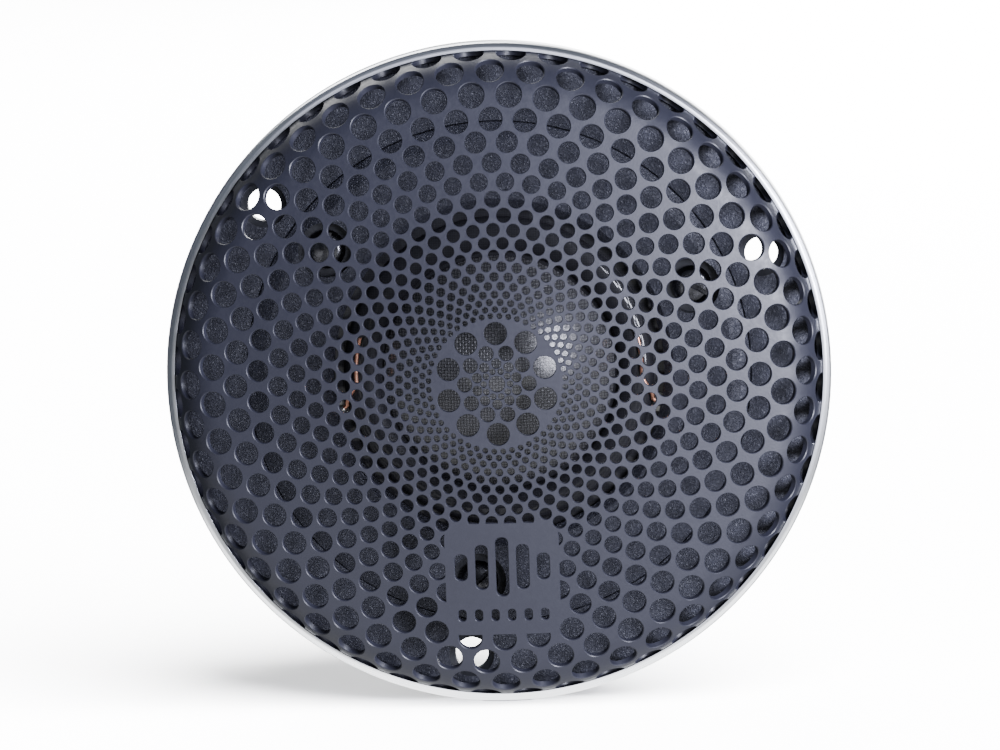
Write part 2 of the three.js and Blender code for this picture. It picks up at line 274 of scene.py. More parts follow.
def from_holes(x, z, circle):
    """Distance to the nearest of the three places on a circle. Millimetres."""
    return min(math.dist((x, z), polar(circle, angle)) for angle in THIRDS)


# --- material helpers
class Look:
    """A node material whose coordinates are the piece's own, in millimetres."""

    def __init__(self, name, colour, roughness, metallic=0.0, **uniform):
        self.material = bpy.data.materials.new(name)
        self.material.use_nodes = True
        self.tree = self.material.node_tree
        self.shader = next(n for n in self.tree.nodes if n.type == "BSDF_PRINCIPLED")
        self.set(self.shader, "Base Color", (*colour, 1))
        self.set(self.shader, "Roughness", roughness)
        self.set(self.shader, "Metallic", metallic)
        for socket, value in uniform.items():
            self.set(self.shader, socket.replace("_", " "), value)
        self.bumped = None
        metres = self.node("ShaderNodeTexCoord").outputs["Object"]
        self.place = self.vector("MULTIPLY", metres, (1000, 1000, 1000))

    def node(self, kind, **settings):
        made = self.tree.nodes.new(kind)
        for key, value in settings.items():
            setattr(made, key, value)
        return made

    def set(self, node, socket, value):
        node.inputs[socket].default_value = value

    def link(self, output, socket):
        self.tree.links.new(output, socket)

    def math(self, operation, first, second=None):
        made = self.node("ShaderNodeMath", operation=operation)
        for socket, value in zip(made.inputs, (first, second)):
            if isinstance(value, (int, float)):
                socket.default_value = value
            elif value is not None:
                self.link(value, socket)
        return made.outputs[0]

    def vector(self, operation, first, second=None, result="Vector"):
        """Vector arithmetic. The second term is an output or three numbers."""
        made = self.node("ShaderNodeVectorMath", operation=operation)
        self.link(first, made.inputs[0])
        if isinstance(second, tuple):
            made.inputs[1].default_value = second
        elif second is not None:
            self.link(second, made.inputs[1])
        return made.outputs[result]

    def axes(self, vector=None):
        """The x, y and z of a vector, or of the piece's own coordinates."""
        parts = self.node("ShaderNodeSeparateXYZ")
        self.link(vector or self.place, parts.inputs[0])
        return parts.outputs

    def noise(self, size, detail=3, roughness=0.5, vector=None, distortion=0.0):
        """Noise whose features are about size millimetres across, from 0 to 1."""
        made = self.node("ShaderNodeTexNoise")
        self.link(vector or self.place, made.inputs["Vector"])
        self.set(made, "Scale", 1 / size)
        self.set(made, "Detail", detail)
        self.set(made, "Roughness", roughness)
        self.set(made, "Distortion", distortion)
        return made.outputs["Fac"]

    def cells(self, size):
        """Distance to the nearest of many points scattered about size millimetres apart."""
        made = self.node("ShaderNodeTexVoronoi", feature="F1")
        self.link(self.place, made.inputs["Vector"])
        self.set(made, "Scale", 1 / size)
        return made.outputs["Distance"]

    def shifted(self, size, amount):
        """The coordinates pushed about by noise, in millimetres."""
        made = self.node("ShaderNodeTexNoise")
        self.link(self.place, made.inputs["Vector"])
        self.set(made, "Scale", 1 / size)
        push = self.vector("MULTIPLY", made.outputs["Color"], (amount, amount, amount))
        return self.vector("ADD", self.place, push)

    def ranged(self, value, low, high, to_low=0.0, to_high=1.0, soft=False):
        made = self.node("ShaderNodeMapRange")
        made.interpolation_type = "SMOOTHSTEP" if soft else "LINEAR"
        self.link(value, made.inputs["Value"])
        self.set(made, "From Min", low)
        self.set(made, "From Max", high)
        self.set(made, "To Min", to_low)
        self.set(made, "To Max", to_high)
        return made.outputs["Result"]

    def blend(self, fac, first, second):
        made = self.node("ShaderNodeMix", data_type="RGBA")
        self.link(fac, made.inputs["Factor"])
        for socket, value in ((made.inputs[6], first), (made.inputs[7], second)):
            if isinstance(value, tuple):
                socket.default_value = (*value, 1)
            else:
                self.link(value, socket)
        return made.outputs[2]

    def colour(self, output):
        self.link(output, self.shader.inputs["Base Color"])

    def roughness(self, output):
        self.link(output, self.shader.inputs["Roughness"])

    def clouded(self, size, detail, first, second, roughness=0.5):
        """Base colour that drifts from one tint to the other."""
        self.colour(self.blend(self.noise(size, detail, roughness), first, second))

    def worn(self, noise, low, high):
        """Roughness that follows a noise between two values."""
        self.roughness(self.ranged(noise, 0.3, 0.7, low, high))

    def bump(self, height, depth):
        """Adds relief of so many millimetres for a height that runs from 0 to 1."""
        made = self.node("ShaderNodeBump")
        self.set(made, "Distance", mm(depth))
        self.link(height, made.inputs["Height"])
        if self.bumped:
            self.link(self.bumped, made.inputs["Normal"])
        self.bumped = made.outputs["Normal"]
        self.link(self.bumped, self.shader.inputs["Normal"])

    def radius(self):
        """Distance from the tweeter's axis, in millimetres."""
        return self.vector("LENGTH", self.vector("MULTIPLY", self.place, (1, 0, 1)), result="Value")

    def round_place(self, along, radial, depth):
        """Coordinates that wind round the axis: lengths stretched along, across and down the turn."""
        unit = self.axes(self.vector("NORMALIZE", self.vector("MULTIPLY", self.place, (1, 0, 1))))
        outwards = self.math("MULTIPLY", self.radius(), radial)
        wound = self.node("ShaderNodeCombineXYZ")
        self.link(self.math("MULTIPLY", unit["X"], along), wound.inputs["X"])
        self.link(self.math("MULTIPLY", unit["Z"], along), wound.inputs["Y"])
        rearwards = self.math("MULTIPLY", self.axes()["Y"], depth)
        self.link(self.math("ADD", outwards, rearwards), wound.inputs["Z"])
        return wound.outputs[0]


# --- materials
def coated_steel():
    """Satin charcoal coating on pressed steel: fine peel, slight haze and tone drift."""
    look = Look("coated_steel", (0.018, 0.018, 0.028), 0.44, Specular_IOR_Level=0.62)
    look.clouded(9, 4, (0.016, 0.0165, 0.026), (0.021, 0.022, 0.034), 0.6)
    look.worn(look.noise(0.6, 4, 0.6), 0.4, 0.5)
    look.bump(look.noise(0.24, 3, 0.6), 0.013)
    look.bump(look.noise(1.4, 2), 0.008)
    return look.material


def turned_aluminium():
    look = Look("turned_aluminium", (0.72, 0.73, 0.76), 0.3, 1.0, Anisotropic=0.5)
    lines = look.noise(1, 4, 0.65, vector=look.round_place(9, 9, 9))
    scratches = look.noise(1, 2, 0.5, vector=look.round_place(3, 24, 24))
    look.colour(look.blend(lines, (0.5, 0.515, 0.55), (0.84, 0.85, 0.87)))
    look.roughness(look.ranged(scratches, 0.25, 0.75, 0.24, 0.44))
    look.bump(lines, 0.008)
    look.bump(scratches, 0.004)
    return look.material


def grained_plastic():
    """Black moulded plastic with a leather grain about half a millimetre wide."""
    look = Look("grained_plastic", (0.022, 0.024, 0.032), 0.4, Specular_IOR_Level=0.6)
    wandering = look.shifted(0.7, 0.5)
    wave = look.noise(0.4, 1.5, 0.5, vector=wandering, distortion=0.6)
    level = look.math("ABSOLUTE", look.math("SUBTRACT", wave, 0.5))
    ridges = look.ranged(level, 0.0, 0.11, 1, 0, soft=True)
    look.colour(look.blend(ridges, (0.02, 0.0213, 0.033), (0.038, 0.0402, 0.056)))
    look.roughness(look.ranged(ridges, 0, 1, 0.6, 0.42))
    look.bump(ridges, 0.06)
    look.bump(look.noise(0.3, 2), 0.012)
    return look.material


def plain_plastic():
    look = Look("plain_plastic", (0.02, 0.021, 0.025), 0.42)
    look.clouded(7, 3, (0.017, 0.018, 0.022), (0.026, 0.027, 0.032))
    look.worn(look.noise(0.5, 4, 0.7), 0.36, 0.54)
    look.bump(look.noise(0.12, 3, 0.6), 0.008)
    look.bump(look.noise(3, 2), 0.02)
    return look.material


def weave_height(look, pitch):
    """Height of a plain weave of that pitch: warp over weft, by turns."""
    axes = look.axes()
    across = look.math("SINE", look.math("MULTIPLY", axes["X"], math.pi / pitch))
    down = look.math("SINE", look.math("MULTIPLY", axes["Z"], math.pi / pitch))
    mixed = look.node("ShaderNodeMix", data_type="FLOAT")
    look.link(look.ranged(look.math("MULTIPLY", across, down), -0.25, 0.25, soft=True), mixed.inputs[0])
    look.link(look.math("ABSOLUTE", across), mixed.inputs[2])
    look.link(look.math("ABSOLUTE", down), mixed.inputs[3])
    return mixed.outputs[0]


def coated_silk():
    """Woven silk under a tacky clear damping coat."""
    look = Look("coated_silk", (0.05, 0.05, 0.055), 0.4, Specular_IOR_Level=0.8, Coat_Weight=1.0,
                Coat_Roughness=0.24, Coat_IOR=1.75)
    threads = look.ranged(weave_height(look, 0.38), 0.45, 0.95, soft=True)
    look.colour(look.blend(threads, (0.004, 0.004, 0.006), (0.085, 0.084, 0.088)))
    look.roughness(look.ranged(threads, 0, 1, 0.6, 0.34))
    look.bump(threads, 0.04)
    look.bump(look.noise(0.9, 3), 0.02)
    return look.material


def coated_cloth():
    """Doped cloth, glossier down the outer slope of the roll where the dope gathers."""
    look = Look("coated_cloth", (0.012, 0.012, 0.015), 0.5, Specular_IOR_Level=0.15, Coat_Roughness=0.07)
    weave = weave_height(look, 0.3)
    look.colour(look.blend(weave, (0.009, 0.009, 0.012), (0.022, 0.022, 0.026)))
    look.link(look.ranged(look.radius(), 16.9, 17.5, 0.0, 0.55), look.shader.inputs["Coat Weight"])
    look.bump(weave, 0.006)
    look.bump(look.noise(2.4, 2), 0.03)
    return look.material


def dark_nickel():
    look = Look("dark_nickel", (0.16, 0.16, 0.175), 0.22, 1.0)
    look.clouded(0.8, 3, (0.12, 0.12, 0.135), (0.2, 0.2, 0.215))
    look.worn(look.noise(0.5, 3, 0.6), 0.17, 0.28)
    look.bump(look.noise(0.8, 2), 0.002)
    return look.material


def zinc_plate(name="zinc_plate", tint=(0.55, 0.56, 0.57), wound=False):
    """Zinc-plated steel; a turned piece shows the marks of its cutting."""
    look = Look(name, tint, 0.34, 1.0)
    look.clouded(3.5, 5, tuple(c * 0.72 for c in tint), tint, 0.6)
    look.worn(look.noise(0.9, 4, 0.6), 0.27, 0.46)
    if wound:
        look.bump(look.noise(1, 3, 0.6, vector=look.round_place(3, 7, 7)), 0.008)
    else:
        look.bump(look.noise(0.4, 3, 0.6), 0.004)
    return look.material


def drawn_copper():
    look = Look("drawn_copper", (0.86, 0.42, 0.28), 0.28, 1.0)
    look.clouded(1.2, 3, (0.8, 0.34, 0.2), (0.93, 0.54, 0.4))
    look.worn(look.noise(0.4, 3), 0.22, 0.4)
    look.bump(look.noise(0.2, 2), 0.004)
    return look.material


def glued_copper():
    """Enamelled copper lead whose first few millimetres are under black adhesive."""
    look = Look("glued_copper", (0.95, 0.48, 0.33), 0.3, 1.0)
    glued = look.ranged(look.axes()["Z"], 4.5, 4.9, soft=True)
    copper = look.blend(look.noise(1.2, 3), (0.95, 0.4, 0.24), (1.0, 0.58, 0.42))
    look.colour(look.blend(glued, copper, (0.012, 0.012, 0.015)))
    look.link(look.ranged(glued, 0, 1, 1, 0), look.shader.inputs["Metallic"])
    look.worn(look.noise(0.4, 3), 0.24, 0.42)
    look.bump(look.noise(0.5, 2), 0.006)
    return look.material


def wound_coil():
    """Enamelled copper turns, seen as fine ridges down the coil."""
    look = Look("wound_coil", (0.66, 0.2, 0.08), 0.25, 1.0, Coat_Weight=0.6)
    wire = 0.16
    wave = look.math("SINE", look.math("MULTIPLY", look.axes()["Y"], math.pi / wire))
    turns = look.math("ABSOLUTE", wave)
    look.colour(look.blend(turns, (0.3, 0.08, 0.03), (0.72, 0.25, 0.1)))
    look.bump(turns, 0.05)
    return look.material


def sheet_brass(name="sheet_brass", tint=(0.62, 0.45, 0.17)):
    look = Look(name, tint, 0.32, 1.0)
    rolled = look.noise(0.5, 4, 0.6, vector=look.vector("MULTIPLY", look.place, (1, 0.12, 1)))
    look.clouded(2.2, 4, tuple(c * 0.78 for c in tint), tint)
    look.worn(rolled, 0.24, 0.42)
    look.bump(rolled, 0.004)
    return look.material


def ferrite():
    """Sintered ferrite: matt grey-black, faintly pitted and chipped at the grain."""
    look = Look("ferrite", (0.045, 0.043, 0.042), 0.62)
    look.clouded(1.6, 5, (0.03, 0.029, 0.029), (0.075, 0.072, 0.07), 0.7)
    look.worn(look.noise(0.3, 4, 0.7), 0.5, 0.75)
    look.bump(look.ranged(look.cells(0.8), 0.0, 0.25, soft=True), 0.03)
    look.bump(look.noise(0.2, 4, 0.7), 0.02)
    return look.material


def closed_foam():
    look = Look("closed_foam", (0.04, 0.04, 0.045), 0.9)
    bubbles = look.ranged(look.cells(0.28), 0.0, 0.6)
    look.colour(look.blend(bubbles, (0.016, 0.016, 0.018), (0.055, 0.055, 0.06)))
    look.bump(bubbles, 0.09)
    return look.material


def wool_felt():
    look = Look("wool_felt", (0.1, 0.095, 0.088), 1.0, Sheen_Weight=0.4)
    fibres = look.noise(0.25, 5, 0.75, distortion=2.5)
    look.colour(look.blend(fibres, (0.05, 0.047, 0.043), (0.17, 0.16, 0.15)))
    look.bump(fibres, 0.12)
    return look.material


def polyimide():
    look = Look("polyimide", (0.42, 0.19, 0.04), 0.3, Coat_Weight=0.5)
    look.clouded(2, 3, (0.33, 0.14, 0.025), (0.5, 0.24, 0.06))
    look.worn(look.noise(0.5, 3), 0.22, 0.4)
    return look.material


def studio_floor():
    look = Look("studio_floor", (0.93, 0.93, 0.94), 0.7)
    look.clouded(60, 3, (0.92, 0.92, 0.93), (0.94, 0.94, 0.95))
    return look.material


LOOKS = {make.__name__: make() for make in (
    coated_steel, turned_aluminium, grained_plastic, plain_plastic, coated_silk, coated_cloth, dark_nickel,
    zinc_plate, drawn_copper, glued_copper, wound_coil, sheet_brass, ferrite, closed_foam, wool_felt,
    polyimide, studio_floor,
)}
LOOKS["turned_steel"] = zinc_plate("turned_steel", (0.5, 0.51, 0.53), wound=True)
LOOKS["tinned_brass"] = sheet_brass("tinned_brass", (0.62, 0.61, 0.57))


# --- grille
SHEET = 0.7
CAP_RADIUS = 145.5
CORNER_RADIUS = 6.8
CAP_END = math.asin((GRILLE_RADIUS - CORNER_RADIUS) / (CAP_RADIUS - CORNER_RADIUS))
CAP_LENGTH = CAP_RADIUS * CAP_END
CORNER_LENGTH = CORNER_RADIUS * (math.pi / 2 - CAP_END)
CORNER_CENTRE = (
    (CAP_RADIUS - CORNER_RADIUS) * math.sin(CAP_END),
    APEX + CAP_RADIUS - (CAP_RADIUS - CORNER_RADIUS) * math.cos(CAP_END),
)
BLANK_RADIUS = CAP_LENGTH + CORNER_LENGTH + SKIRT_END - CORNER_CENTRE[1]

LEAST_SLIVER = 0.3  # a hole that clears the panel by less than this is left out
HOLES_ROUND = 48
HOLE_RINGS = 19
FIRST_RING = 8.58
RING_GROWTH = 1.0945
HOLE_SHARE = (0.63, 0.7)  # of the pitch round a ring, at the first ring and the last
ROSETTE_ROUND = 10
# Radius, hole size and turn, in pitches, of each ring of the rosette.
ROSETTE = ((1.66, 0.82, 0.5), (2.59, 1.28, 0), (4.04, 1.92, 0.5), (6.37, 2.9, 0))
ROSETTE_CENTRE_HOLE = 2.07
PANEL_CENTRE = 25.2  # down the sheet from the apex
PANEL_SIZE = (14.4, 14.7)
PANEL_CORNER = 1.8
PANEL_BARS = (3.6, 6.0, 7.9, 6.0, 3.6)
BAR_WIDTH, BAR_PITCH, BAR_CENTRE = 1.75, 2.6, 1.65
PANEL_DOTS = 6
DOT_WIDTH, DOT_HEIGHT, DOT_PITCH, DOT_CENTRE = 1.15, 1.7, 2.1, -4.75


def formed(flat, inset):
    """Points [u, v] of the flat blank on the formed sheet, so far below its outer face. Millimetres."""
    length = np.hypot(flat[:, 0], flat[:, 1])
    angle = np.arctan2(flat[:, 1], flat[:, 0])
    cap = np.minimum(length, CAP_LENGTH) / CAP_RADIUS
    corner = CAP_END + np.clip(length - CAP_LENGTH, 0, CORNER_LENGTH) / CORNER_RADIUS
    skirt = np.maximum(length - CAP_LENGTH - CORNER_LENGTH, 0)
    on_cap = length <= CAP_LENGTH
    radius = np.where(
        on_cap,
        (CAP_RADIUS - inset) * np.sin(cap),
        CORNER_CENTRE[0] + (CORNER_RADIUS - inset) * np.sin(corner),
    )
    y = np.where(
        on_cap,
        APEX + CAP_RADIUS - (CAP_RADIUS - inset) * np.cos(cap),
        CORNER_CENTRE[1] - (CORNER_RADIUS - inset) * np.cos(corner) + skirt,
    )
    return np.stack([radius * np.cos(angle), y, radius * np.sin(angle)], 1)


def edge_width(length):
    """Width of the small chamfer round a hole, by its place on the sheet."""
    return np.clip(0.03 + 0.0018 * length, 0.03, 0.1)


def grille_holes():
    """Every round hole as (u, v, radius)."""
    holes = [(0.0, 0.0, ROSETTE_CENTRE_HOLE / 2)]
    for radius, hole, turn in ROSETTE:
        for k in range(ROSETTE_ROUND):
            holes.append((*polar(radius, math.pi / 2 + (k + turn) * TURN / ROSETTE_ROUND), hole / 2))
    for ring in range(HOLE_RINGS):
        radius = FIRST_RING * RING_GROWTH ** ring
        share = np.interp(ring, (0, HOLE_RINGS - 1), HOLE_SHARE)
        hole = share * radius * TURN / HOLES_ROUND / 2
        for k in range(HOLES_ROUND):
            turn = 0.5 if ring % 2 == 0 else 0
            holes.append((*polar(radius, (k + turn) * TURN / HOLES_ROUND), hole))
    return holes


def circle_sides(radius):
    return int(10 + 8 * radius)


def circle_loop(u, v, radius):
    sides = circle_sides(radius)
    angles = TURN * (np.arange(sides) + 0.5) / sides
    return np.stack([u + radius * np.cos(angles), v + radius * np.sin(angles)], 1)


def soft_rectangle(u, v, width, height, corner):
    """A rectangle with round corners about (u, v), as points no further apart than the spacing."""
    loop = []
    arc_steps, spacing = 6, 1.0
    for quarter, (sx, sy) in enumerate(((1, 1), (-1, 1), (-1, -1), (1, -1))):
        for k in range(arc_steps + 1):
            du, dv = polar(corner, (quarter + k / arc_steps) * math.pi / 2)
            loop.append((u + sx * (width / 2 - corner) + du, v + sy * (height / 2 - corner) + dv))
    dense = []
    for here, after in zip(loop, loop[1:] + loop[:1]):
        gap = math.dist(here, after)
        parts = max(1, math.ceil(gap / spacing))
        if gap > 1e-6:
            dense += [np.array(here) + (np.array(after) - here) * i / parts for i in range(parts)]
    return np.array(dense)


def panel_outline():
    return soft_rectangle(0, -PANEL_CENTRE, *PANEL_SIZE, PANEL_CORNER)


def panel_slots():
    """A row of upright bars of stepped height over a row of short ones: a plain sound-level mark."""
    bars = [(BAR_PITCH, BAR_CENTRE, BAR_WIDTH, height) for height in PANEL_BARS]
    dots = [(DOT_PITCH, DOT_CENTRE, DOT_WIDTH, DOT_HEIGHT)] * PANEL_DOTS
    slots = []
    for row in (bars, dots):
        for i, (pitch, centre, width, height) in enumerate(row):
            u = (i - (len(row) - 1) / 2) * pitch
            slots.append(soft_rectangle(u, centre - PANEL_CENTRE, width, height, width * 0.45))
    return slots


def inside(points, loop):
    """Which points lie inside a closed loop."""
    result = np.zeros(len(points), bool)
    for (ax, ay), (bx, by) in zip(loop, np.roll(loop, -1, axis=0)):
        if ay == by:
            continue
        crosses = (ay > points[:, 1]) != (by > points[:, 1])
        result ^= crosses & (points[:, 0] < (bx - ax) * (points[:, 1] - ay) / (by - ay) + ax)
    return result


def in_circles(points, circles, grow=0.0, inscribed=False):
    """Which points lie in any of the circles (u, v, radius)."""
    result = np.zeros(len(points), bool)
    for u, v, radius in circles:
        limit = radius * math.cos(math.pi / circle_sides(radius)) if inscribed else radius
        result |= (points[:, 0] - u) ** 2 + (points[:, 1] - v) ** 2 < (limit + grow) ** 2
    return result


def filling_points(circles, loops):
    """Points in the webs, close enough together for the sheet's curve to be smooth."""
    from_hole, from_edge, bend_margin = 0.22, 0.4, 0.5
    points = []
    radius = 0.6
    row = 0
    while radius < BLANK_RADIUS - from_edge:
        bent = CAP_LENGTH - bend_margin < radius < CAP_LENGTH + CORNER_LENGTH + bend_margin
        along, outward = (1.1, 0.55) if bent else (1.3, 1.1)
        count = math.ceil(TURN * radius / along)
        angles = TURN * (np.arange(count) + 0.5 * (row % 2)) / count
        points.append(np.stack([radius * np.cos(angles), radius * np.sin(angles)], 1))
        radius += outward
        row += 1
    points = np.concatenate(points)
    points = points[~in_circles(points, circles, grow=from_hole)]
    near = np.zeros(len(points), bool)
    for u, v in np.concatenate(loops):
        near |= np.hypot(points[:, 0] - u, points[:, 1] - v) < from_edge
    return points[~near]


def grille_sheet():
    """The perforated sheet: its blank is cut flat, then carried onto the formed dome."""
    panel, slots = panel_outline(), panel_slots()
    circles = []
    for u, v, radius in grille_holes():
        widened = (u, v, radius + float(edge_width(math.hypot(u, v))))
        if not inside(circle_loop(u, v, widened[2] - LEAST_SLIVER), panel).all():
            circles.append(widened)
    rim_angles = TURN * np.arange(240) / 240
    rim = BLANK_RADIUS * np.stack([np.cos(rim_angles), np.sin(rim_angles)], 1)
    loops = [rim, panel, *slots, *(circle_loop(*c) for c in circles)]
    fill = filling_points(circles, [panel, *slots])

    edges, first = [], 0
    for loop in loops:
        count = len(loop)
        edges += [(first + i, first + (i + 1) % count) for i in range(count)]
        first += count
    coords = [Vector(p) for p in np.concatenate([*loops, fill])]
    net = delaunay_2d_cdt(coords, edges, [], 0, 1e-6)
    flat = np.array([tuple(p) for p in net[0]])
    faces = np.array([tuple(f) for f in net[2] if len(f) == 3])

    a, b, c = (flat[faces[:, i]] for i in range(3))
    area = (b[:, 0] - a[:, 0]) * (c[:, 1] - a[:, 1]) - (b[:, 1] - a[:, 1]) * (c[:, 0] - a[:, 0])
    faces[area < 0] = faces[area < 0][:, ::-1]
    middle = (a + b + c) / 3
    on_panel = inside(middle, panel)
    in_slot = np.any([inside(middle, slot) for slot in slots], axis=0)
    solid = np.where(on_panel, ~in_slot, ~in_circles(middle, circles, inscribed=True))
    faces = faces[solid & (np.abs(area) > 1e-9)]
    return thickened(flat, faces)


def thickened(flat, faces):
    """Front, chamfer, hole walls and back of the sheet, from its triangles in the flat."""
    directed = np.concatenate([faces[:, [0, 1]], faces[:, [1, 2]], faces[:, [2, 0]]])
    keys = {(int(i), int(j)) for i, j in directed}
    border = np.array([(i, j) for i, j in keys if (j, i) not in keys])
    border = border[np.lexsort((border[:, 1], border[:, 0]))]

    along = flat[border[:, 1]] - flat[border[:, 0]]
    outward = np.stack([along[:, 1], -along[:, 0]], 1) / np.linalg.norm(along, axis=1)[:, None]
    total = np.zeros_like(flat)
    np.add.at(total, border[:, 0], outward)
    np.add.at(total, border[:, 1], outward)
    length = np.linalg.norm(total, axis=1)
    on_border = length > 1e-9
    width = edge_width(np.hypot(flat[:, 0], flat[:, 1]))
    push = np.zeros_like(flat)
    push[on_border] = total[on_border] / length[on_border, None] * width[on_border, None]

    used = np.unique(faces)
    lips = np.unique(border)
    front, lip, back = np.zeros((3, len(flat)), int)
    front[used] = np.arange(len(used))
    lip[lips] = len(used) + np.arange(len(lips))
    back[used] = len(used) + len(lips) + np.arange(len(used))
    points = np.concatenate([
        formed(flat[used], 0),
        formed((flat + push)[lips], width[lips]),
        formed((flat + push)[used], SHEET),
    ])
    i, j = border[:, 0], border[:, 1]
    chamfer = np.stack([front[j], front[i], lip[i], lip[j]], 1)
    wall = np.stack([lip[j], lip[i], back[i], back[j]], 1)
    parts = (front[faces], back[faces[:, ::-1]], chamfer, wall)
    all_faces = [face for part in parts for face in part.tolist()]
    return new_piece("grille_sheet", points, all_faces, sharp_angle=36)


def add_grille_cover():
    finish_piece(grille_sheet(), "grille_cover", "coated_steel", "grille")
    overlap = 0.02
    inner = GRILLE_RADIUS - overlap
    outline = rounded([
        (inner, RING_BACK, 0.1), (inner, RING_FRONT, 0.06),
        (RING_RADIUS - 0.62, RING_FRONT + 0.06, 0.5), (RING_RADIUS - 0.16, RING_FRONT + 0.34, 0.3),
        (RING_RADIUS, RING_FRONT + 0.8, 0.3), (RING_RADIUS, RING_BACK, 0.15),
    ])
    ring = lathe("trim_ring_turned", outline, sides=256, sharp_angle=50)
    finish_piece(ring, "grille_cover", "turned_aluminium", "trim_ring")
    # Painted shade: the ring's inner wall behind its front edge takes the grille's dark coating, to darken
    # the gap between ring and grille.
    behind = RING_FRONT + 0.1
    second_look(ring, "coated_steel", lambda x, y, z: y > behind and math.hypot(x, z) < inner + 0.03)
    return ring


# --- flange and plate
FLANGE_LIP = 0.18  # the flange fills the grille's skirt
SEAT_RADIUS, SEAT = 31.9, -1.0  # of the step that the face plate lies on
GROOVE_OUTER, GROOVE_FLOOR = 33.9, -0.6
PLATE_SCREW_HOLE = 1.5


def add_flange():
    bore, edge = 24.2, FLANGE_RADIUS + FLANGE_LIP
    flange = lathe("flange_moulding", rounded([
        (bore, FLANGE_REAR, 0.2), (bore, SEAT, 0), (SEAT_RADIUS, SEAT, 0),
        (SEAT_RADIUS, FLANGE_FRONT, 0.15), (edge, FLANGE_FRONT, 0.4), (edge, FLANGE_REAR, 0.2),
    ]))
    hole, flare = 2.1, 2.85
    groove = [(SEAT_RADIUS, GROOVE_FLOOR), (SEAT_RADIUS, 1), (GROOVE_OUTER, 1), (GROOVE_OUTER, GROOVE_FLOOR)]
    tools = [lathe("groove", groove)]
    for angle in THIRDS:
        cutter = lathe("hole", [
            (0, FLANGE_FRONT - 1), (flare, FLANGE_FRONT - 1), (flare, FLANGE_FRONT + 0.15),
            (hole, FLANGE_FRONT + 0.75), (hole, FLANGE_REAR + 1), (0, FLANGE_REAR + 1),
        ], sides=48)
        tools.append(place(cutter, MOUNT_CIRCLE, angle))
        tools.append(place(rod(PLATE_SCREW_HOLE, SEAT - 1, 1, sides=32), SCREW_CIRCLE, angle))
    boolean(flange, tools)
    finish_piece(flange, "driver", "grained_plastic", "mounting_flange")

    def ungrained(x, y, z):
        in_hole = y > FLANGE_FRONT + 0.1 and from_holes(x, z, MOUNT_CIRCLE) < flare + 0.02
        return in_hole or y > SEAT + 0.1

    second_look(flange, "plain_plastic", ungrained)


def add_gasket():
    inner, outer = SEAT_RADIUS + 0.05, GROOVE_OUTER - 0.05
    front, proud = GROOVE_FLOOR + 0.05, 0.4
    gasket = lathe("gasket_strip", rounded([
        (inner, front, 0), (outer, front, 0), (outer, proud, 0.25), (inner, proud, 0.25),
    ]))
    finish_piece(gasket, "driver", "closed_foam", "foam_gasket")


def add_face_plate():
    bore, chamfer_end, chamfer_outer, front = 20.9, -2.1, 22.1, -3.3
    edge = 31.8  # just inside the flange's seat
    rebate, rebate_floor = 23.9, -1.4
    plate = lathe("face_moulding", rounded([
        (bore, rebate_floor, 0), (bore, chamfer_end, 0.15), (chamfer_outer, front, 0.3),
        (26.6, front, 0.8), (29.6, PLATE_CREST, 0.35), (edge, -2.6, 0.15),
        (edge, PLATE_REAR, 0), (rebate, PLATE_REAR, 0), (rebate, rebate_floor, 0),
    ]))
    recess, floor = 3.5, -2.0
    tools = []
    for angle in THIRDS:
        cutter = lathe("recess", [
            (0, PLATE_CREST - 1), (recess, PLATE_CREST - 1), (recess, floor - 0.1),
            (recess - 0.1, floor), (PLATE_SCREW_HOLE, floor), (PLATE_SCREW_HOLE, 0), (0, 0),
        ], sides=64)
        tools.append(place(cutter, SCREW_CIRCLE, angle))
    boolean(plate, tools)
    finish_piece(plate, "driver", "grained_plastic", "face_plate")
    second_look(plate, "plain_plastic", lambda x, y, z: from_holes(x, z, SCREW_CIRCLE) < recess + 0.01)


def pan_head(name, head, height, shank, seat, end, slot, depth, side):
    """A slotted pan-head screw on the axis, from the radii of its head and shank. Millimetres.

    The head rises from the seat towards side, and the shank runs to the end.
    """
    top = seat + side * height
    outline = rounded([
        (0, end, 0), (shank, end, 0), (shank, seat, 0), (head - 0.1, seat, 0.05),
        (head, seat + side * height * 0.3, 0.25),
        (head * 0.72, top - side * height * 0.08, 0.9),
        (0, top, 0),
    ], steps=5)
    screw = lathe(name, outline, sides=48)
    cut = sorted((top - side * depth, top + side))
    return boolean(screw, [slab("slot", (-head - 1, head + 1), cut, (-slot / 2, slot / 2))])


def add_face_screws():
    slot_angles = (0.5, 1.8, -0.72)
    for i, angle in enumerate(THIRDS):
        screw = pan_head(
            f"face_screw_{i + 1}_turned",
            head=2.5, height=1.5, shank=1.2, seat=-2.0, end=3.2, slot=0.6, depth=0.65, side=-1)
        place(screw, SCREW_CIRCLE, angle, slot_angles[i])
        finish_piece(screw, "driver", "dark_nickel", f"face_screw_{i + 1}")


# --- diaphragm
SURROUND_FACE = -0.95
ROLL_INNER, ROLL_OUTER, ROLL_HEIGHT = 15.1, 19.7, 1.5
SURROUND_INNER, SURROUND_OUTER = 14.15, 23.6
CLOTH = 0.3


def add_dome():
    base = DOME_BASE - CLOTH
    rise = base - DOME_APEX
    sphere = (DOME_RADIUS ** 2 + rise ** 2) / (2 * rise)
    centre = DOME_APEX + sphere
    steps = 40

    def cap(radius, bottom):
        edge = math.acos((centre - bottom) / radius)
        angles = [edge * i / steps for i in range(steps + 1)]
        return [(radius * math.sin(a), centre - radius * math.cos(a)) for a in angles]

    outside = cap(sphere, base)
    under = cap(sphere - CLOTH, DOME_BASE)
    dome = lathe("dome_cap", [*outside, (DOME_RADIUS, DOME_BASE), *under[::-1]], sides=128)
    finish_piece(dome, "diaphragm", "coated_silk", "dome")


